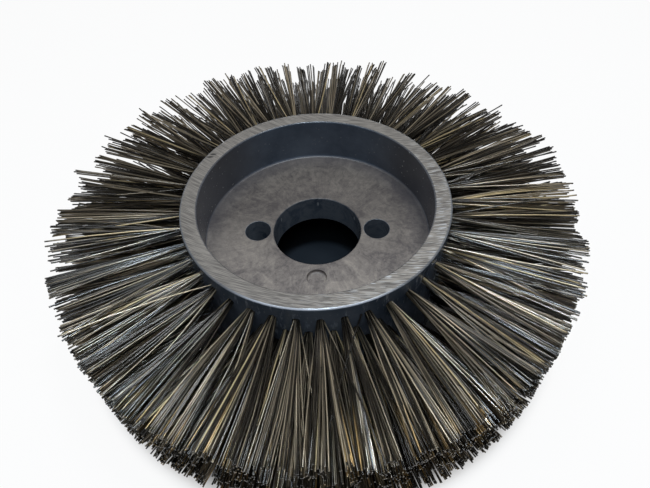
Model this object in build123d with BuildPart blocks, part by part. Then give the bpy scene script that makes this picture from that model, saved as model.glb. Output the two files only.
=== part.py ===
from build123d import *
import os
from math import cos, pi, radians, sin, sqrt

# Drum brush: a moulded hub whose outside is set with tufts of brush wire. Millimetres and degrees.
# The frame stands on the middle of the hub's lower rim, and +Z is the axis the brush turns about.

# Hub: one moulding, an H in section, with the web half way up
HUB_DIAMETER = 160.0
HUB_HEIGHT = 80.0
WALL = 10.0
WEB_THICKNESS = 20.0
WEB_CORNER_BEVEL = 1.5
RIM_INNER_CHAMFER = 1.0
RIM_OUTER_CHAMFER = 0.5

# Drive: a shaft goes through the bore, and two pins turn the brush
BORE_DIAMETER = 55.0
BORE_CHAMFER = 1.0
PIN_HOLE_DIAMETER = 16.0
PIN_CIRCLE_DIAMETER = 75.0
DIMPLE_DIAMETER = 12.0
DIMPLE_DEPTH = 2.5

# Tufts: rows one above the other, with every second row moved on by half a pitch
BRUSH_DIAMETER = 310.0
TUFTS_IN_A_ROW = 40
ROWS = 6
RIM_TO_FIRST_ROW = 10.5
RIM_TO_TUFT_BAND = 4.5
TUFT_HOLE_DEPTH = 6.0
TIPS_TOGETHER = 0.86  # how tall the rows stand at their tips, as a share of their height at the roots

# Wire: a tuft is a bundle folded over its anchor, and each of its two legs is one strand here
WIRE_DIAMETER = 0.8
WIRES_IN_A_LEG = 14
LEG_SPACING = 3.2
LEG_FOOT_DEPTH = 2.4
TRIM_UNEVENNESS = 1.4
TIP_WANDER = 3.0
ANCHOR_LENGTH = 7.5
ANCHOR_WIDTH = 2.0
ANCHOR_THICKNESS = 1.5

HUB_RADIUS = HUB_DIAMETER / 2
RECESS_RADIUS = HUB_RADIUS - WALL
BORE_RADIUS = BORE_DIAMETER / 2
WEB_BOTTOM = (HUB_HEIGHT - WEB_THICKNESS) / 2
WEB_TOP = WEB_BOTTOM + WEB_THICKNESS
COLUMN_ANGLE = 360 / TUFTS_IN_A_ROW
STAGGER = COLUMN_ANGLE / 4
BAND_BOTTOM = RIM_TO_TUFT_BAND
BAND_TOP = HUB_HEIGHT - RIM_TO_TUFT_BAND
BAND_RADIUS = HUB_RADIUS - TUFT_HOLE_DEPTH
ROW_PITCH = (HUB_HEIGHT - 2 * RIM_TO_FIRST_ROW) / (ROWS - 1)
LEG_WIDTH = sqrt(WIRES_IN_A_LEG * pi * WIRE_DIAMETER**2 / 4)  # a square with the leg's steel in it
LEG_LENGTH = (BRUSH_DIAMETER - HUB_DIAMETER) / 2 + LEG_FOOT_DEPTH
LEGS = (-1, 1)  # the side of its tuft that each leg leans to
GOLDEN_ANGLE = 137.508  # spreads the small differences between legs evenly

os.makedirs("parts", exist_ok=True)


def at(radius, angle, height):
    """The point at a radius, an angle round the drum and a height."""
    return Vector(radius * cos(radians(angle)), radius * sin(radians(angle)), height)


def row_height(row):
    """How high a row's tuft holes stand."""
    return RIM_TO_FIRST_ROW + row * ROW_PITCH


def tuft_angle(column, row):
    """Where a tuft stands round the drum: every second row leans to the other side of its column."""
    side = 1 if row % 2 else -1
    return column * COLUMN_ANGLE + side * STAGGER


def leg_turn(column, row, leg):
    """An angle that is different for every leg on the brush."""
    return radians(GOLDEN_ANGLE * (2 * (ROWS * column + row) + leg))


def leg_ends(column, row, leg):
    """Where a leg leaves the hub, and the point that its far end heads for."""
    angle = tuft_angle(column, row)
    root = at(HUB_RADIUS, angle, row_height(row)) + at(leg * LEG_SPACING / 2, angle + 90, 0)
    middle = HUB_HEIGHT / 2
    tip_angle = angle + leg * STAGGER
    tip_height = middle + (row_height(row) - middle) * TIPS_TOGETHER
    turn = leg_turn(column, row, leg)
    wander = at(TIP_WANDER * cos(turn), tip_angle + 90, TIP_WANDER * sin(turn))
    return root, at(BRUSH_DIAMETER / 2, tip_angle, tip_height) + wander


def leg_plane(column, row, leg):
    """The plane across a leg's foot, looking along the leg, sunk more or less into the hub."""
    root, tip = leg_ends(column, row, leg)
    along = (tip - root).normalized()
    sunk = LEG_FOOT_DEPTH + TRIM_UNEVENNESS * sin(2 * leg_turn(column, row, leg))
    return Plane(root - along * sunk, (0, 0, 1), along)


def anchor_plane(column, row):
    """The plane of an anchor's seat at the bottom of its tuft hole, looking outwards."""
    angle = tuft_angle(column, row)
    return Plane(at(BAND_RADIUS, angle, row_height(row)), (0, 0, 1), at(1, angle, 0))


def least_gap():
    """The least gap between legs, measured at points along each pair in neighbouring columns."""
    steps = [step / 4 for step in range(5)]
    gaps = []
    for first in range(TUFTS_IN_A_ROW):
        near = [leg_ends(column, row, leg) for column in (first, first + 1) for row in range(ROWS) for leg in LEGS]
        lines = [[root + (tip - root) * step for step in steps] for root, tip in near]
        gaps += [
            (one[step] - other[step]).length - LEG_WIDTH
            for number, one in enumerate(lines)
            for other in lines[:number]
            for step in range(len(steps))
        ]
    return min(gaps)


# Hub, from its half section
with BuildPart() as hub:
    with BuildSketch(Plane.XZ):
        with BuildLine():
            Polyline(
                (BORE_RADIUS, WEB_BOTTOM),
                (RECESS_RADIUS, WEB_BOTTOM),
                (RECESS_RADIUS, 0),
                (HUB_RADIUS, 0),
                (HUB_RADIUS, HUB_HEIGHT),
                (RECESS_RADIUS, HUB_HEIGHT),
                (RECESS_RADIUS, WEB_TOP),
                (BORE_RADIUS, WEB_TOP),
                close=True,
            )
        make_face()
    revolve(axis=Axis.Z)

    flats = hub.faces().filter_by(Axis.Z).sort_by(Axis.Z)
    rims = [flats[0], flats[-1]]
    webs = flats.sort_by(SortBy.AREA)[-2:]
    chamfer([web.outer_wire().edge() for web in webs], WEB_CORNER_BEVEL)
    chamfer([web.inner_wires()[0].edge() for web in webs], BORE_CHAMFER)
    chamfer([rim.inner_wires()[0].edge() for rim in rims], RIM_INNER_CHAMFER)
    chamfer([rim.outer_wire().edge() for rim in rims], RIM_OUTER_CHAMFER)

    with Locations((0, 0, WEB_TOP)):
        with PolarLocations(PIN_CIRCLE_DIAMETER / 2, 2):
            Hole(PIN_HOLE_DIAMETER / 2, depth=WEB_THICKNESS)
    with Locations((0, -PIN_CIRCLE_DIAMETER / 2, WEB_TOP)):
        Hole(DIMPLE_DIAMETER / 2, depth=DIMPLE_DEPTH)

    # The band of wall that the tufts are set in is left out here, because the tuft columns have it
    with BuildSketch(Plane.XY.offset(BAND_BOTTOM)):
        Circle(BRUSH_DIAMETER / 2)
        RegularPolygon(BAND_RADIUS, TUFTS_IN_A_ROW, rotation=COLUMN_ANGLE / 2, mode=Mode.SUBTRACT)
    extrude(amount=BAND_TOP - BAND_BOTTOM, mode=Mode.SUBTRACT)
hub.part.label = "hub"
export_step(hub.part, "parts/hub.step")


def tuft_column(column):
    """A slice of the hub's wall, one tuft pitch wide, fused with the legs of the tufts set in it."""
    start = (column - 0.5) * COLUMN_ANGLE
    end = start + COLUMN_ANGLE
    anchor_seats = [anchor_plane(column, row) for row in range(ROWS)]
    leg_feet = [leg_plane(column, row, leg) for row in range(ROWS) for leg in LEGS]
    with BuildPart() as tufts:
        with BuildSketch(Plane.XY.offset(BAND_BOTTOM)):
            with BuildLine():
                Polyline(
                    at(BAND_RADIUS, start, 0),
                    at(HUB_RADIUS, start, 0),
                    at(HUB_RADIUS, end, 0),
                    at(BAND_RADIUS, end, 0),
                    close=True,
                )
            make_face()
        extrude(amount=BAND_TOP - BAND_BOTTOM)
        with Locations(*anchor_seats):
            Box(ANCHOR_LENGTH, ANCHOR_WIDTH, 2 * ANCHOR_THICKNESS, mode=Mode.SUBTRACT)
        with BuildSketch(*leg_feet):
            Rectangle(LEG_WIDTH, LEG_WIDTH)
        extrude(amount=LEG_LENGTH)
    return tufts.part


for column in range(TUFTS_IN_A_ROW):
    tufts = tuft_column(column)
    tufts.label = f"tuft_column_{column + 1:02d}"
    export_step(tufts, f"parts/{tufts.label}.step")

# Anchors: a short bar lies across the bottom of every tuft hole, inside the fold of its tuft
every_seat = [anchor_plane(column, row) for column in range(TUFTS_IN_A_ROW) for row in range(ROWS)]
with BuildPart() as tuft_anchors:
    with Locations(*every_seat):
        Box(ANCHOR_LENGTH, ANCHOR_WIDTH, ANCHOR_THICKNESS, align=(Align.CENTER, Align.CENTER, Align.MIN))
tuft_anchors.part.label = "tuft_anchors"
export_step(tuft_anchors.part, "parts/tuft_anchors.step")

leg_count = len(LEGS) * ROWS * TUFTS_IN_A_ROW
print(f"{leg_count} legs of wire, with a least gap of {least_gap():.2f} mm between them")
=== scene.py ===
import random
from math import atan, cos, pi, radians, sin, sqrt

import bmesh
import bpy
from mathutils import Matrix, Vector


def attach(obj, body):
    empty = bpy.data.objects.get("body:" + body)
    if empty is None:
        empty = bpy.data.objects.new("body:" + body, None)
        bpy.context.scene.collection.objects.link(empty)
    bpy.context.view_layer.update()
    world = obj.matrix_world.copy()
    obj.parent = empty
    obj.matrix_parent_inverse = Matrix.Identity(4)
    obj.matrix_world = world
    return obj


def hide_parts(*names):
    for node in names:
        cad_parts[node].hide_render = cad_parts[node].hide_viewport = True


# The frame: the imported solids, in metres. The brush stands on the floor, and +Z is its axis.
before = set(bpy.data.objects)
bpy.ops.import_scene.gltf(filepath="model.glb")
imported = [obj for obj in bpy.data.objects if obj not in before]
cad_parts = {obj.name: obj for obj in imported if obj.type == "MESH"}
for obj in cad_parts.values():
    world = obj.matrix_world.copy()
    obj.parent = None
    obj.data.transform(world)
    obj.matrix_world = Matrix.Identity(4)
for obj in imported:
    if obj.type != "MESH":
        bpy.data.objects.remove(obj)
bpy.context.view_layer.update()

MM = 0.001
TINY = 0.01 * MM
MERGE_DISTANCE = 0.001 * MM

# Hub, with the sizes of the part's source
HUB_RADIUS = 80 * MM
HUB_HEIGHT = 80 * MM
WALL = 10 * MM
WEB_BOTTOM = 30 * MM
WEB_TOP = 50 * MM
BORE_RADIUS = 27.5 * MM
PIN_HOLE_RADIUS = 8 * MM
PIN_CIRCLE_RADIUS = 37.5 * MM
DIMPLE_RADIUS = 6 * MM
DIMPLE_DEPTH = 2.5 * MM
RECESS_RADIUS = HUB_RADIUS - WALL
HALF_HEIGHT = HUB_HEIGHT / 2
HALF_WEB = (WEB_TOP - WEB_BOTTOM) / 2

# How far the hub's edges are rounded
RIM_OUTER_ROUNDING = 1.1 * MM
RIM_INNER_ROUNDING = 1.0 * MM
WEB_CORNER_ROUNDING = 1.6 * MM
BORE_ROUNDING = 0.8 * MM
PIN_HOLE_ROUNDING = 0.35 * MM
DIMPLE_ROUNDING = 0.15 * MM
DIMPLE_FLOOR_ROUNDING = 1.2 * MM

# Drills
DRILL_OVERSHOOT = 5 * MM
DRILL_SIDES = 64
DRILL_FLATNESS = 0.03 * MM  # how far the flats of a drill's sides may lie inside its circle

# Marks on the hub: two small nicks on the rim, to the left at the back, and pale spots round the bore,
# which are painted highlights.
# Each is longer one way, because only a share of the distance that way counts.
NICKS = ((-67.3 * MM, 36.9 * MM), (-65.6 * MM, 39.5 * MM))
NICK_LENGTHWISE = sqrt(0.12)
GLINTS_PAINTED_IN_THE_BORE = 6
PAINTED_GLINT_HEIGHT = 45 * MM
PAINTED_GLINT_LENGTHWISE = sqrt(0.15)

# Tufts
COLUMNS = 40
ROWS = 6
FIRST_ROW = 10.5 * MM
ROW_PITCH = (HUB_HEIGHT - 2 * FIRST_ROW) / (ROWS - 1)
COLUMN_ANGLE = 360 / COLUMNS
STAGGER = COLUMN_ANGLE / 4
TUFT_HOLE_RADIUS = 2.1 * MM
TUFT_HOLE_BOTTOM = 74 * MM
TUFT_DRILL_LENGTH = 10 * MM
TUFT_DRILL_SIDES = 12

# Wires: a tuft is a round bundle at its root, and fans out in locks that stick together
WIRES_IN_A_TUFT = 28
LOCKS_IN_A_TUFT = 5
WIRE_RADIUS = 0.45 * MM
BUNDLE_RADIUS = 1.9 * MM
ROOT_ABOVE_HOLE_BOTTOM = 2.2 * MM
TIP_RADIUS = 154.8 * MM
LONGEST_REACH = 155.4 * MM
SHORTEST_REACH = 100 * MM
GOLDEN_ANGLE = radians(137.508)
MIDDLE_OF_A_LOCK = (WIRES_IN_A_TUFT / LOCKS_IN_A_TUFT - 1) / 2  # counted in wires from its first
ROOT_SHARE_ACROSS = 0.6  # how much of the bundle's width and height is left at the root and the tip
ROOT_SHARE_UPWARDS = 0.8
TIP_SHARE_UPWARDS = 0.9
POINTS_ALONG_A_WIRE = (0, 0.15, 0.4, 0.7)  # as shares of its length
LEANING_WIRES_BOW = 0.05  # as a share of how far they lean
HOOKED_END = 1.6 * MM
TIP_MARGIN = 0.9 * MM  # how far the tips keep from the heights of the rims
WIRE_MARGIN = 0.5 * MM

# How unevenly they lie: the spread of each measure about its middle
TUFT_LEANS_SIDEWAYS = 1.7 * MM
TUFT_LEANS_UPWARDS = 1.6 * MM
TUFT_LENGTHS = 0.5 * MM
LOCKS_LEAN_UPWARDS = 3.2 * MM
LOCKS_BOW_SIDEWAYS = 0.9 * MM
LOCKS_BOW_UPWARDS = 0.8 * MM
LOCK_LENGTHS = 0.6 * MM
WIRES_LEAN_SIDEWAYS = 0.2 * MM
WIRES_LEAN_UPWARDS = 0.4 * MM
WIRE_LENGTHS = 0.6 * MM
WIRES_BOW = 0.08 * MM
STRAYS_LEAN_SIDEWAYS = 13 * MM
STRAYS_LEAN_UPWARDS = 5 * MM

# The same in millimetres. A lock's lean has one of six spreads, and a pair gives the least and the most.
LOCKS_LEAN_SIDEWAYS = (1, 1, 2, 2, 3, 5)
TIPS_HOOK = 0.06
LOCK_PITCHES = (3.8, 5.8)
WIRE_PITCHES = (0.75, 1.25)
SHORT_WIRES_LACK = (5, 30)

# How many of the wires are golden, stray from their lock, are short or are hooked more at the tip
GOLDEN_SHARES = (0.01,) * 16 + (0.06, 0.1, 0.2)
GOLDEN_STRAYS = 0.3
SHARE_OF_STRAYS = 0.07
SHARE_OF_SHORT_WIRES = 0.02
SHARE_OF_HOOKED_WIRES = 0.06
HOOKED_MORE = 3


# ---------------------------------------------------------------- editing by hand


def pick_out(piece):
    """Selects one piece alone and makes it the active one."""
    bpy.ops.object.select_all(action="DESELECT")
    bpy.context.view_layer.objects.active = piece
    piece.select_set(True)


def start_editing(piece):
    """Edit mode on one piece alone, with nothing on it selected."""
    pick_out(piece)
    bpy.ops.object.mode_set(mode="EDIT")
    bpy.ops.mesh.select_all(action="DESELECT")


def stop_editing():
    bpy.ops.object.mode_set(mode="OBJECT")


def middle(element):
    """The place of a vertex, or the middle of an edge."""
    if isinstance(element, bmesh.types.BMVert):
        return element.co
    return (element.verts[0].co + element.verts[1].co) / 2


def select_where(piece, kind, test):
    """Selects the piece's "verts" or "edges" whose middle passes the test, and nothing else."""
    modes = {"verts": "VERT", "edges": "EDGE"}
    bpy.ops.mesh.select_mode(type=modes[kind])
    bpy.ops.mesh.select_all(action="DESELECT")
    shape = bmesh.from_edit_mesh(piece.data)
    for element in getattr(shape, kind):
        if test(middle(element)):
            element.select_set(True)
    shape.select_flush_mode()
    bmesh.update_edit_mesh(piece.data)


def near(value, *others):
    """Whether a measure is as good as one of the others."""
    return min(abs(value - other) for other in others) < TINY


def on_circle(place, x, y, radius):
    """Whether a place is on the edge that a drill at x and y leaves."""
    return abs((place.xy - Vector((x, y))).length - radius) < DRILL_FLATNESS


def close_seams():
    """Merges what meets and turns the faces outwards, in edit mode."""
    bpy.ops.mesh.select_all(action="SELECT")
    bpy.ops.mesh.remove_doubles(threshold=MERGE_DISTANCE)
    bpy.ops.mesh.normals_make_consistent(inside=False)


def cut_away(piece, tool):
    """Cuts the tool's solid out of the piece."""
    pick_out(piece)
    cut = piece.modifiers.new("cut", "BOOLEAN")
    cut.operation = "DIFFERENCE"
    cut.solver = "EXACT"
    cut.object = tool
    bpy.ops.object.modifier_apply(modifier=cut.name)
    bpy.data.objects.remove(tool)


def finish_surface(piece, angle):
    """Closes the seams and smooths the piece across edges flatter than an angle."""
    start_editing(piece)
    close_seams()
    stop_editing()
    bpy.ops.object.shade_smooth_by_angle(angle=radians(angle))


def keep_flats_flat(piece):
    """Lets the large flat faces decide how the rounded edges beside them shade."""
    weighted = piece.modifiers.new("weighted", "WEIGHTED_NORMAL")
    weighted.keep_sharp = True
    bpy.ops.object.modifier_apply(modifier=weighted.name)


# ---------------------------------------------------------------- hub


def spun_hub():
    """The hub's half section, with its rounded corners, spun round the axis."""
    bpy.ops.object.select_all(action="DESELECT")
    bpy.ops.mesh.primitive_plane_add(
        size=1, location=(HUB_RADIUS - WALL / 2, 0, HALF_HEIGHT), rotation=(radians(90), 0, 0)
    )
    hub = bpy.context.object
    hub.name = hub.data.name = "moulded_hub"
    hub.scale = (WALL, HUB_HEIGHT, 1)
    bpy.ops.object.transform_apply(location=True, rotation=True, scale=True)

    # The web grows inwards from the middle of the wall
    start_editing(hub)
    for height in (WEB_BOTTOM, WEB_TOP):
        bpy.ops.mesh.select_all(action="SELECT")
        bpy.ops.mesh.bisect(plane_co=(0, 0, height), plane_no=(0, 0, 1))
    select_where(
        hub, "edges", lambda place: near(place.x, RECESS_RADIUS) and WEB_BOTTOM < place.z < WEB_TOP
    )
    bpy.ops.mesh.extrude_edges_move(TRANSFORM_OT_translate={"value": (BORE_RADIUS - RECESS_RADIUS, 0, 0)})
    bpy.ops.mesh.select_all(action="SELECT")
    bpy.ops.mesh.dissolve_limited()

    corners = (
        (HUB_RADIUS, (0, HUB_HEIGHT), RIM_OUTER_ROUNDING),
        (RECESS_RADIUS, (0, HUB_HEIGHT), RIM_INNER_ROUNDING),
        (RECESS_RADIUS, (WEB_BOTTOM, WEB_TOP), WEB_CORNER_ROUNDING),
        (BORE_RADIUS, (WEB_BOTTOM, WEB_TOP), BORE_ROUNDING),
    )
    for radius, heights, rounding in corners:
        select_where(hub, "verts", lambda place: near(place.x, radius) and near(place.z, *heights))
        bpy.ops.mesh.bevel(offset=rounding, segments=3, affect="VERTICES")
    bpy.ops.mesh.select_all(action="SELECT")
    bpy.ops.mesh.delete(type="ONLY_FACE")
    bpy.ops.mesh.select_all(action="SELECT")
    bpy.ops.mesh.spin(steps=5 * COLUMNS, angle=2 * pi, center=(0, 0, 0), axis=(0, 0, 1))
    close_seams()
    stop_editing()
    return hub


def drill_web(hub):
    """Drills the two drive pin holes, right through the web, and the dimple, and rounds their edges."""
    below = WEB_BOTTOM - DRILL_OVERSHOOT
    above = WEB_TOP + DRILL_OVERSHOOT
    dimple_floor = WEB_TOP - DIMPLE_DEPTH
    holes = (
        (PIN_CIRCLE_RADIUS, 0, PIN_HOLE_RADIUS, below, PIN_HOLE_ROUNDING),
        (-PIN_CIRCLE_RADIUS, 0, PIN_HOLE_RADIUS, below, PIN_HOLE_ROUNDING),
        (0, -PIN_CIRCLE_RADIUS, DIMPLE_RADIUS, dimple_floor, DIMPLE_ROUNDING),
    )
    for x, y, radius, floor, _ in holes:
        bpy.ops.object.select_all(action="DESELECT")
        bpy.ops.mesh.primitive_cylinder_add(
            vertices=DRILL_SIDES, radius=radius, depth=above - floor, location=(x, y, (above + floor) / 2)
        )
        cut_away(hub, bpy.context.object)

    start_editing(hub)
    for x, y, radius, _, rounding in holes:
        select_where(
            hub,
            "edges",
            lambda place: on_circle(place, x, y, radius) and near(place.z, WEB_TOP, WEB_BOTTOM),
        )
        bpy.ops.mesh.bevel(offset=rounding, segments=2, affect="EDGES")
    select_where(
        hub,
        "edges",
        lambda place: on_circle(place, 0, -PIN_CIRCLE_RADIUS, DIMPLE_RADIUS)
        and near(place.z, dimple_floor),
    )
    bpy.ops.mesh.bevel(offset=DIMPLE_FLOOR_ROUNDING, segments=3, affect="EDGES")
    stop_editing()


def tuft_angle(column, row):
    """Where a tuft stands round the drum: every second row leans to the other side of its column."""
    side = 1 if row % 2 else -1
    return column * COLUMN_ANGLE + side * STAGGER


def drill_tuft_holes(hub):
    """A hole in the wall for every tuft."""
    radius = TUFT_HOLE_BOTTOM + TUFT_DRILL_LENGTH / 2
    drills = None
    bpy.ops.object.select_all(action="DESELECT")
    for column in range(COLUMNS):
        for row in range(ROWS):
            angle = radians(tuft_angle(column, row))
            bpy.ops.mesh.primitive_cylinder_add(
                vertices=TUFT_DRILL_SIDES,
                radius=TUFT_HOLE_RADIUS,
                depth=TUFT_DRILL_LENGTH,
                location=(radius * cos(angle), radius * sin(angle), FIRST_ROW + row * ROW_PITCH),
                rotation=(0, radians(90), angle),
            )
            if drills is None:
                # In the first drill's edit mode, the others are added to the same piece
                drills = bpy.context.object
                bpy.ops.object.transform_apply(location=True, rotation=True, scale=True)
                bpy.ops.object.mode_set(mode="EDIT")
    bpy.ops.object.mode_set(mode="OBJECT")
    cut_away(hub, drills)


# ---------------------------------------------------------------- wires


def within(value, low, high):
    """A measure, kept between a low and a high one."""
    return min(max(value, low), high)


def packed_bundle(turn):
    """Where the wires stand in a tuft's round hole, across it and up it, from one side to the other."""
    spots = []
    for wire in range(WIRES_IN_A_TUFT):
        distance = BUNDLE_RADIUS * sqrt((wire + 0.5) / WIRES_IN_A_TUFT)
        angle = turn + wire * GOLDEN_ANGLE
        spots.append((distance * cos(angle), distance * sin(angle)))
    return sorted(spots)


def bent_wire(root, tip, bow, hook):
    """The points of one wire: it bows from its root to near its tip, and ends in a short hook."""
    hook_start = 1 - HOOKED_END / (tip - root).length
    steps = (*POINTS_ALONG_A_WIRE, hook_start)
    points = [root + (tip - root) * step + bow * sin(pi * step) for step in steps]
    points.append(tip + hook)
    for point in points:
        point.z = within(point.z, WIRE_MARGIN, HUB_HEIGHT - WIRE_MARGIN)
    return points


def wires_of_a_tuft(column, row, chance):
    """The wires of one tuft: for each, its points from inside the hole to the tip, and how it looks."""
    angle = radians(tuft_angle(column, row))
    height = FIRST_ROW + row * ROW_PITCH
    outwards = Vector((cos(angle), sin(angle), 0))
    sideways = Vector((-sin(angle), cos(angle), 0))
    upwards = Vector((0, 0, 1))
    lean_sideways = chance.gauss(0, TUFT_LEANS_SIDEWAYS)
    lean_upwards = chance.gauss(0, TUFT_LEANS_UPWARDS)
    tuft_length = chance.gauss(0, TUFT_LENGTHS)
    lock_pitch = chance.uniform(*LOCK_PITCHES) * MM
    turn = chance.uniform(0, 2 * pi)
    wires = []
    for number, (across, along) in enumerate(packed_bundle(turn)):
        lock, place_in_lock = divmod(number * LOCKS_IN_A_TUFT, WIRES_IN_A_TUFT)
        if place_in_lock < LOCKS_IN_A_TUFT:
            # The first wire of a lock settles what its wires share
            lock_across = (lock - (LOCKS_IN_A_TUFT - 1) / 2) * lock_pitch
            lock_across += lean_sideways + chance.gauss(0, chance.choice(LOCKS_LEAN_SIDEWAYS) * MM)
            lock_along = lean_upwards + chance.gauss(0, LOCKS_LEAN_UPWARDS)
            lock_bow = chance.gauss(0, LOCKS_BOW_SIDEWAYS), chance.gauss(0, LOCKS_BOW_UPWARDS)
            lock_reach = chance.gauss(0, LOCK_LENGTHS)
            lock_gold = chance.choice(GOLDEN_SHARES)
            wire_pitch = chance.uniform(*WIRE_PITCHES) * MM
        root = outwards * (TUFT_HOLE_BOTTOM + ROOT_ABOVE_HOLE_BOTTOM)
        root += sideways * across * ROOT_SHARE_ACROSS
        root += upwards * (height + along * ROOT_SHARE_UPWARDS)

        tip_across = lock_across + (place_in_lock / LOCKS_IN_A_TUFT - MIDDLE_OF_A_LOCK) * wire_pitch
        tip_across += chance.gauss(0, WIRES_LEAN_SIDEWAYS)
        tip_along = lock_along + along * TIP_SHARE_UPWARDS + chance.gauss(0, WIRES_LEAN_UPWARDS)
        reach = TIP_RADIUS + tuft_length + lock_reach + chance.gauss(0, WIRE_LENGTHS)
        gold = lock_gold
        if chance.random() < SHARE_OF_STRAYS:
            tip_across += chance.gauss(0, STRAYS_LEAN_SIDEWAYS)
            tip_along += chance.gauss(0, STRAYS_LEAN_UPWARDS)
            gold = GOLDEN_STRAYS
        if chance.random() < SHARE_OF_SHORT_WIRES:
            reach -= chance.uniform(*SHORT_WIRES_LACK) * MM
        reach = within(reach, SHORTEST_REACH, LONGEST_REACH)
        tip = (outwards * reach + sideways * tip_across).normalized() * reach
        tip += upwards * within(height + tip_along, TIP_MARGIN, HUB_HEIGHT - TIP_MARGIN)

        leaning = (tip_across - across) * LEANING_WIRES_BOW
        bow = sideways * (lock_bow[0] + chance.gauss(0, WIRES_BOW) + leaning)
        bow += upwards * (lock_bow[1] + chance.gauss(0, WIRES_BOW))
        hook = Vector((chance.gauss(0, 1), chance.gauss(0, 1), chance.gauss(0, 1))) * TIPS_HOOK * MM
        if chance.random() < SHARE_OF_HOOKED_WIRES:
            hook *= HOOKED_MORE
        looks = chance.random(), float(chance.random() < gold), chance.random(), 1.0
        wires.append((bent_wire(root, tip, bow, hook), looks))
    return wires


def column_of_tufts(column, chance):
    """The wires of the six tufts of one column, as one piece."""
    name = f"tufts_{column + 1:02d}"
    curve = bpy.data.curves.new(name, "CURVE")
    curve.dimensions = "3D"
    curve.bevel_depth = WIRE_RADIUS
    curve.bevel_resolution = 1
    curve.use_fill_caps = True
    wires = [wire for row in range(ROWS) for wire in wires_of_a_tuft(column, row, chance)]
    for points, _ in wires:
        spline = curve.splines.new("POLY")
        spline.points.add(len(points) - 1)
        for place, point in zip(spline.points, points):
            place.co = (*point, 1)
    tufts = bpy.data.objects.new(name, curve)
    bpy.context.scene.collection.objects.link(tufts)
    pick_out(tufts)
    bpy.ops.object.convert(target="MESH")

    # Each wire carries its own looks: its tone, whether it is golden, and the phase of its wear
    look = tufts.data.attributes.new("wire_look", "FLOAT_COLOR", "POINT")
    corners_of_a_wire = len(tufts.data.vertices) // len(wires)
    look.data.foreach_set("color", [value for _, looks in wires for value in looks * corners_of_a_wire])
    finish_surface(tufts, 65)
    return tufts


# ---------------------------------------------------------------- finishes


def linear(red, green, blue):
    """A colour as it is written on a screen, from 0 to 255, in the linear values that a shader takes."""
    return tuple((value / 255) ** 2.2 for value in (red, green, blue))


def beside(size, start, end):
    """A span near a size, from so many millimetres past it to so many."""
    return size + start * MM, size + end * MM


class Value:
    """A number that varies over a surface, with the usual arithmetic."""

    def __init__(self, finish, socket):
        self.finish = finish
        self.socket = socket

    def maths(self, operation, *others):
        inputs = dict(enumerate((self, *others)))
        return self.finish.node("ShaderNodeMath", {"operation": operation}, inputs)

    def __add__(self, other):
        return self.maths("ADD", other)

    def __mul__(self, other):
        return self.maths("MULTIPLY", other)

    def __sub__(self, other):
        return self.maths("SUBTRACT", other)

    def __truediv__(self, other):
        return self.maths("DIVIDE", other)

    def __pow__(self, other):
        return self.maths("POWER", other)

    def __abs__(self):
        return self.maths("ABSOLUTE")

    def __rsub__(self, other):
        return self * -1 + other

    __radd__ = __add__
    __rmul__ = __mul__


class Finish:
    """A material that is worked out over the surface, from the place on the piece in metres."""

    def __init__(self, name):
        self.material = bpy.data.materials.new(name)
        self.material.use_nodes = True
        self.tree = self.material.node_tree
        self.shader = self.tree.nodes["Principled BSDF"]
        self.spot = self.node("ShaderNodeTexCoord", output="Object")
        self.x, self.y, self.z = (
            self.node("ShaderNodeSeparateXYZ", None, {0: self.spot}, axis) for axis in "XYZ"
        )
        self.radius = self.distance(self.x, self.y)

    def node(self, kind, settings=None, inputs=None, output=0):
        """Adds a node, with its settings first and then the values or links of its sockets."""
        node = self.tree.nodes.new(kind)
        for name, value in (settings or {}).items():
            setattr(node, name, value)
        for name, value in (inputs or {}).items():
            self.set(node.inputs[name], value)
        return Value(self, node.outputs[output])

    def set(self, socket, value):
        """Links a socket to what varies, or gives it a number or a colour."""
        if isinstance(value, Value):
            self.tree.links.new(value.socket, socket)
        elif isinstance(value, tuple) and len(value) == 3 and socket.type == "RGBA":
            socket.default_value = (*value, 1)
        else:
            socket.default_value = value

    def shade(self, **sockets):
        """Sets the shader's sockets: Base_Color is its Base Color."""
        for name, value in sockets.items():
            self.set(self.shader.inputs[name.replace("_", " ")], value)

    def distance(self, *parts):
        """The length of what goes so far along each axis."""
        return sum(part * part for part in parts) ** 0.5

    def vector(self, x, y, z):
        return self.node("ShaderNodeCombineXYZ", None, {0: x, 1: y, 2: z})

    def noise(self, vector, scale, detail=2.0, roughness=0.5, distortion=0.0):
        inputs = {"Vector": vector, "Scale": scale, "Detail": detail, "Roughness": roughness}
        inputs["Distortion"] = distortion
        return self.node("ShaderNodeTexNoise", {"noise_dimensions": "3D"}, inputs)

    def step(self, value, low, high):
        """0 below low and 1 above high, with a smooth rise between them."""
        inputs = {"Value": value, "From Min": low, "From Max": high}
        return self.node("ShaderNodeMapRange", {"interpolation_type": "SMOOTHSTEP"}, inputs)

    def blend(self, first, second, share):
        """From the first colour to the second as the share goes from 0 to 1."""
        # A Mix node keeps its colours in sockets 6 and 7, and the colour that comes out in 2
        return self.node("ShaderNodeMix", {"data_type": "RGBA"}, {0: share, 6: first, 7: second}, 2)

    def shaded(self, colour, factor):
        """A colour made lighter or darker by a factor."""
        return self.node("ShaderNodeVectorMath", {"operation": "SCALE"}, {0: colour, "Scale": factor})

    def bump(self, height, distance, strength):
        """Small relief, without a change to the shape."""
        inputs = {"Strength": strength, "Distance": distance, "Height": height}
        return self.node("ShaderNodeBump", None, inputs)


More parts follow.
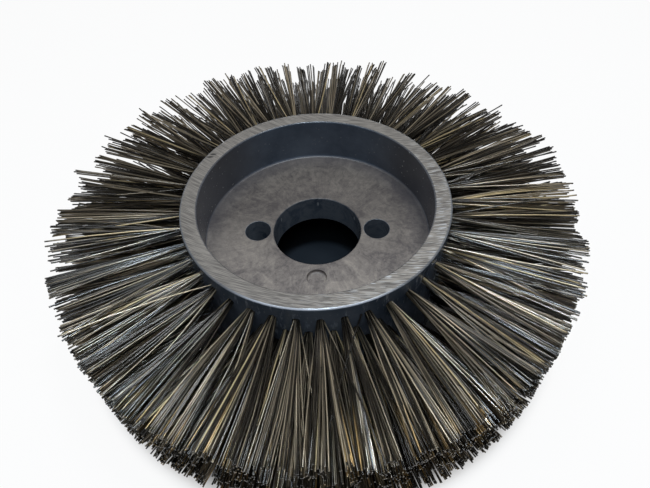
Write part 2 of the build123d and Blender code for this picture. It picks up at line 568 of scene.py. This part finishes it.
def scored_rim(finish, inner_edge, outer_edge, painted_light_to_the_front):
    """The rims' colour, with painted sheen and glints, and the depth of the scores that the planer left
    in them.
    """
    x, y = finish.x, finish.y

    # Fine arcs about a point far to the back, with short pale ones to the right that are partly whitened
    # scores and partly painted glints
    score_radius = finish.distance(x - 45 * MM, y - 190 * MM)
    fine_scores = finish.noise(finish.vector(score_radius * 2600, x * 90, 0.0), 1.0, 1.0, 0.6)
    broad_scores = finish.noise(finish.vector(score_radius * 500, x * 40, 7.0), 1.0, 2.0, 0.6)
    short_scores = finish.noise(finish.vector(score_radius * 2300, x * 120, 13.0), 1.0, 1.0, 0.5)
    rougher = finish.step(x - y * 0.6, 15 * MM, 70 * MM)
    whitened_and_glinting_dashes = finish.step(short_scores, 0.6, 0.66) * rougher
    scores = fine_scores * 0.8 + broad_scores * 0.2 + whitened_and_glinting_dashes * 0.3

    colour = finish.blend(linear(78, 73, 69), linear(149, 141, 132), finish.step(scores, 0.44, 0.56))
    colour = finish.blend(colour, linear(115, 109, 103), 0.45 - rougher * 0.3)
    # Painted sheen: the rougher scores grow lighter towards the front
    colour = finish.shaded(colour, 1.05 + rougher * painted_light_to_the_front * 0.15)
    # Short pale dashes: whitened scores with painted glints
    colour = finish.blend(colour, linear(205, 206, 208), whitened_and_glinting_dashes * 0.6)

    # The edges: dark along the recess, less so at the front as painted light, and a painted glint on the
    # outer edge at the front
    colour = finish.blend(colour, linear(104, 108, 114), outer_edge * 0.7)
    colour = finish.blend(colour, linear(58, 63, 70), inner_edge * (0.85 - painted_light_to_the_front * 0.7))
    painted_edge_glint = finish.step(finish.radius, *beside(HUB_RADIUS, -1.1, -0.6))
    painted_edge_glint = painted_edge_glint * finish.step(y * -1, 62 * MM, 79 * MM)
    colour = finish.blend(colour, linear(206, 210, 220), painted_edge_glint * 0.7)

    nicks = 0
    for nick_x, nick_y in NICKS:
        from_nick = finish.distance((x - nick_x) * NICK_LENGTHWISE, y - nick_y)
        nicks = nicks + (1 - finish.step(from_nick, 0.5 * MM, 0.9 * MM))
    colour = finish.blend(colour, linear(20, 21, 24), nicks)
    return colour, scores * (0.55 + rougher * 0.3)


def mottled_web(finish, clouds, blotches, grain, painted_light_to_the_front):
    """The web's colour: clouds, grain and faint streaks from the bore, with painted shade towards the
    back and by the wall.
    """
    x, y, radius = finish.x, finish.y, finish.radius
    streaks = finish.noise(finish.vector(x / radius * 45, y / radius * 45, radius * 60), 1.0, 3.0, 0.6)
    mottle = clouds * 1.7 + blotches * 1.7 + grain + streaks * 0.5 - 2.0
    colour = finish.blend(linear(89, 82, 81), linear(160, 149, 138), mottle)
    # Painted light and shade: lighter towards the front, darker towards the back and by the wall
    colour = finish.shaded(colour, 0.51 + painted_light_to_the_front * 0.43)
    painted_shade_by_the_wall = finish.step(radius, 54 * MM, RECESS_RADIUS) * (1 - painted_light_to_the_front)
    return finish.blend(colour, linear(66, 63, 68), painted_shade_by_the_wall * 0.5)


def smooth_wall(finish, clouds, blotches, by_a_pin_hole):
    """The walls' colour: blue-black with pale specks, and painted light: a greyer reflection at the
    sides, shade at the back, lit holes and outer wall, glints in the bore.
    """
    x, y, z, radius = finish.x, finish.y, finish.z, finish.radius
    colour = finish.blend(linear(54, 63, 76), linear(95, 104, 117), clouds * 2.4 - 0.75)
    in_a_recess = 1 - finish.step(radius, *beside(RECESS_RADIUS, 0.2, 0.6))
    sides_with_painted_reflection = finish.step(abs(x), 30 * MM, 66 * MM) * in_a_recess
    # Painted reflection: the sides of the recess are greyer, and painted shade darkens them towards the
    # back
    colour = finish.blend(colour, linear(98, 94, 95), sides_with_painted_reflection * 0.6)
    colour = finish.shaded(colour, 1 - sides_with_painted_reflection * finish.step(y, 12 * MM, 42 * MM) * 0.3)
    specks = finish.step(finish.noise(finish.spot, 520, 1.0, 0.5), 0.70, 0.76)
    colour = finish.blend(colour, linear(150, 148, 146), specks * (sides_with_painted_reflection + 0.4) * 0.6)

    # Painted light: the walls of the bore and the pin holes are lighter in blotches, as if lit
    in_the_bore = 1 - finish.step(radius, *beside(BORE_RADIUS, 0.7, 1.1))
    painted_light_in_holes = in_the_bore.maths("MAXIMUM", by_a_pin_hole)
    colour = finish.blend(colour, linear(102, 108, 116), painted_light_in_holes * finish.step(blotches, 0.3, 0.6))

    # On the outer wall the drill left burrs between the tufts, and the wall is painted lighter, as if lit
    outer_wall_painted_lit = finish.step(radius, *beside(HUB_RADIUS, -0.7, -0.2))
    upright_noise = finish.noise(finish.vector(x, y, z * 0.25), 330, 3.0, 0.7)
    burrs = finish.step(upright_noise, 0.56, 0.68) * outer_wall_painted_lit
    colour = finish.shaded(colour, 1 + outer_wall_painted_lit * 0.35)
    colour = finish.blend(colour, linear(150, 160, 174), burrs * 0.55)

    # Painted highlights: pale spots round the bore stand in for glints
    painted_glints = 0
    for number in range(GLINTS_PAINTED_IN_THE_BORE):
        turn = 2 * pi * number / GLINTS_PAINTED_IN_THE_BORE
        from_painted_glint = finish.distance(
            x - BORE_RADIUS * sin(turn), y - BORE_RADIUS * cos(turn), (z - PAINTED_GLINT_HEIGHT) * PAINTED_GLINT_LENGTHWISE
        )
        painted_glints = painted_glints + (1 - finish.step(from_painted_glint, 0.3 * MM, 0.9 * MM))
    return finish.blend(colour, linear(168, 172, 176), painted_glints * 0.7)


def hub_plastic():
    """Dark moulded plastic: smooth blue-black walls, a mottled web and rims scored by the planer."""
    finish = Finish("hub_plastic")
    radius = finish.radius
    from_middle = abs(finish.z - HALF_HEIGHT)
    # A share that rises towards the front; it carries painted light and shade on the web and the rims
    painted_light_to_the_front = finish.step(finish.y * -1, -20 * MM, 45 * MM)

    on_rim = finish.step(from_middle, *beside(HALF_HEIGHT, -0.9, -0.3))
    on_rim = on_rim * finish.step(radius, *beside(RECESS_RADIUS, 0.1, 0.6))
    inner_edge = (1 - finish.step(radius, *beside(RECESS_RADIUS, 0.7, 1.2))) * on_rim
    outer_edge = finish.step(radius, *beside(HUB_RADIUS, -1.2, -0.8)) * on_rim
    on_flat_rim = on_rim - (inner_edge + outer_edge)

    from_pin = finish.distance(abs(finish.x) - PIN_CIRCLE_RADIUS, finish.y)
    by_a_pin_hole = 1 - finish.step(from_pin, *beside(PIN_HOLE_RADIUS, 0.1, 0.4))
    on_web = 1 - finish.step(from_middle, *beside(HALF_WEB, 0.5, 1.4))
    on_web = on_web * finish.step(from_middle, *beside(HALF_WEB - DIMPLE_DEPTH, -0.2, -0.05))
    on_web = on_web * (1 - finish.step(radius, *beside(RECESS_RADIUS, -1.0, 0.2)))
    on_web = on_web * finish.step(radius, *beside(BORE_RADIUS, 0, 0.3)) * (1 - by_a_pin_hole)

    clouds = finish.noise(finish.spot, 24, 5.0, 0.6)
    blotches = finish.noise(finish.spot, 90, 6.0, 0.7, 1.5)
    grain = finish.noise(finish.spot, 420, 3.0, 0.8, 1.0)
    wall_colour = smooth_wall(finish, clouds, blotches, by_a_pin_hole)
    web_colour = mottled_web(finish, clouds, blotches, grain, painted_light_to_the_front)
    rim_colour, score_depth = scored_rim(finish, inner_edge, outer_edge, painted_light_to_the_front)
    colour = finish.blend(wall_colour, web_colour, on_web)
    colour = finish.blend(colour, rim_colour, on_rim)

    height = grain * 0.03 * (1 - on_rim) + on_web * blotches * 0.15 + on_flat_rim * score_depth
    finish.shade(
        Base_Color=colour,
        Roughness=0.2 + on_web * 0.2 + on_flat_rim * 0.2 + blotches * 0.08,
        Coat_Weight=outer_edge + inner_edge * 0.3,
        Coat_Roughness=0.12,
        Normal=finish.bump(height, 0.12 * MM, 0.7),
    )
    return finish.material


def brush_wire():
    """Drawn wire with a dark bronze skin, golden on some wires, with painted shade by the hub, a painted
    golden highlight at the front, and darker towards the tips.
    """
    finish = Finish("brush_wire")
    y, radius = finish.y, finish.radius
    look = finish.node("ShaderNodeAttribute", {"attribute_name": "wire_look"}, None, "Color")
    tone, gold, phase = (
        finish.node("ShaderNodeSeparateColor", None, {0: look}, channel) for channel in range(3)
    )
    worn = finish.noise(finish.vector(radius * 90, phase * 60, 0.0), 1.0, 3.0, 0.6)
    dark = finish.blend(linear(30, 27, 23), linear(200, 182, 154), tone**4 + worn * 0.16 - 0.07)
    golden = finish.blend(linear(150, 130, 96), linear(238, 214, 166), worn * 0.8 + tone * 0.3)
    colour = finish.blend(dark, golden, gold)

    # Painted highlight: at the front some wires are made golden towards their tips
    painted_golden_glint = finish.step(y * -1, 105 * MM, 140 * MM) * finish.step(radius, 118 * MM, 152 * MM)
    painted_golden_glint = painted_golden_glint * finish.step(phase, 0.86, 0.92)
    colour = finish.blend(colour, linear(230, 190, 128), painted_golden_glint * 0.8)

    # Painted shade: the wires are darker near the hub
    painted_shade_by_the_hub = 1 - finish.step(radius, 82 * MM, 100 * MM)
    colour = finish.shaded(colour, 1 - painted_shade_by_the_hub * 0.5)
    # Darker over the last millimetres to the tips
    last_millimetres_to_tips = finish.step(radius, 149 * MM, 154 * MM)
    colour = finish.blend(colour, linear(30, 28, 25), last_millimetres_to_tips * 0.5)
    finish.shade(
        Base_Color=colour,
        Metallic=0.7 - gold * 0.2,
        Roughness=0.27 + worn * 0.1,
        Specular_Tint=(0.4, 0.4, 0.4),
        Coat_Weight=1 - painted_shade_by_the_hub * 0.6 - last_millimetres_to_tips * 0.5,
        Coat_IOR=1.85,
        Coat_Roughness=0.1,
    )
    return finish.material


def anchor_steel():
    """Plain drawn steel, with faint marks along the bar."""
    finish = Finish("anchor_steel")
    along_the_bar = finish.vector(finish.x * 4000, finish.y * 4000, finish.z * 150)
    drawn = finish.noise(along_the_bar, 1.0, 2.0, 0.5)
    finish.shade(
        Base_Color=finish.blend(linear(120, 120, 120), linear(165, 165, 165), drawn),
        Metallic=1.0,
        Roughness=0.32 + drawn * 0.15,
    )
    return finish.material


def put_finish(piece, material):
    piece.data.materials.clear()
    piece.data.materials.append(material)


# ---------------------------------------------------------------- the brush

hub = spun_hub()
drill_web(hub)
drill_tuft_holes(hub)
finish_surface(hub, 32)
keep_flats_flat(hub)
put_finish(hub, hub_plastic())
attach(hub, "root")
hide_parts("hub")

wire = brush_wire()
chance = random.Random(11)
for column in range(COLUMNS):
    tufts = column_of_tufts(column, chance)
    put_finish(tufts, wire)
    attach(tufts, "root")
    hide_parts(f"tuft_column_{column + 1:02d}")

put_finish(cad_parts["tuft_anchors"], anchor_steel())


# ---------------------------------------------------------------- floor, light and camera


def pale_floor():
    """A plain pale floor that shows as white beyond the brush and keeps its shadow, with a dark disc
    painted as shade under the hub.
    """
    bpy.ops.object.select_all(action="DESELECT")
    bpy.ops.mesh.primitive_plane_add(size=8, location=(0, 0, 0))
    floor = bpy.context.object
    floor.name = "floor"
    finish = Finish("floor")
    # Painted shade: a dark disc on the floor under the hub, seen through the bore
    painted_shade_under_the_hub = 1 - finish.step(finish.radius, 64 * MM, 66 * MM)
    beyond_the_wires = finish.step(finish.radius, 140 * MM, 162 * MM)
    finish.shade(
        Base_Color=finish.blend(linear(236, 236, 236), linear(30, 36, 42), painted_shade_under_the_hub),
        Roughness=0.8,
        Specular_IOR_Level=0.2,
    )

    rays = finish.tree.nodes.new("ShaderNodeLightPath").outputs
    seen = Value(finish, rays["Is Camera Ray"])
    for ray in ("Is Glossy Ray", "Is Transmission Ray"):
        seen = seen.maths("MAXIMUM", Value(finish, rays[ray]))
    white = finish.node("ShaderNodeEmission", None, {"Color": (1, 1, 1), "Strength": 1.0})
    inputs = {0: seen * 0.92 * beyond_the_wires, 1: Value(finish, finish.shader.outputs[0]), 2: white}
    shown = finish.node("ShaderNodeMixShader", None, inputs)
    finish.set(finish.tree.nodes["Material Output"].inputs["Surface"], shown)
    put_finish(floor, finish.material)


def soft_light():
    """A plain pale room, a small lamp overhead, a little blue, and broader ones round about."""
    world = bpy.data.worlds.new("room")
    bpy.context.scene.world = world
    world.use_nodes = True
    background = world.node_tree.nodes["Background"]
    background.inputs["Color"].default_value = (1, 0.94, 0.86, 1)
    background.inputs["Strength"].default_value = 0.1

    # Each lamp's name, x, y, height and size in metres, power in watts and colour
    lamps = (
        ("lamp_overhead", 0, -0.13, 1.1, 0.2, 5.4, (0.72, 0.86, 1.0)),
        ("soft_box_behind", 0, 0.75, 1.0, 0.55, 1.35, (1.0, 0.95, 0.89)),
        ("soft_box_in_front", 0, -0.5, 1.0, 0.4, 0.8, (0.85, 0.93, 1.0)),
        ("soft_box_left", -0.31, 0, 1.05, 0.25, 1.3, (0.88, 0.94, 1.0)),
        ("soft_box_right", 0.27, 0, 1.05, 0.25, 3.2, (0.88, 0.94, 1.0)),
    )
    for name, x, y, height, size, power, colour in lamps:
        bpy.ops.object.light_add(type="AREA", location=(x, y, height))
        lamp = bpy.context.object
        lamp.name = name
        lamp.data.shape = "DISK"
        lamp.data.size = size
        lamp.data.energy = power
        lamp.data.color = colour
        lamp.rotation_euler = (-atan(y / height), atan(x / height), 0)


def camera_of_the_photograph():
    """The photograph's place and angle, fitted to the hub's circles."""
    place = (12.63 * MM, -230.39 * MM, 310.09 * MM)
    pitch, yaw, roll = radians(49.96), radians(-2.036), radians(-2.626)
    image_width = 650  # pixels
    focal_length = 550  # pixels
    forward = Vector((sin(yaw) * cos(pitch), cos(yaw) * cos(pitch), -sin(pitch)))
    level = Vector((cos(yaw), -sin(yaw), 0))
    right = level * cos(roll) + level.cross(forward) * sin(roll)
    up = right.cross(forward)
    axes = Matrix((right, up, -forward)).transposed().to_4x4()
    bpy.ops.object.camera_add()
    camera = bpy.context.object
    camera.matrix_world = Matrix.Translation(place) @ axes
    camera.data.lens = focal_length / image_width * camera.data.sensor_width
    camera.data.clip_start = 10 * MM
    bpy.context.scene.camera = camera


pale_floor()
soft_light()
camera_of_the_photograph()
bpy.context.scene.view_settings.view_transform = "Standard"
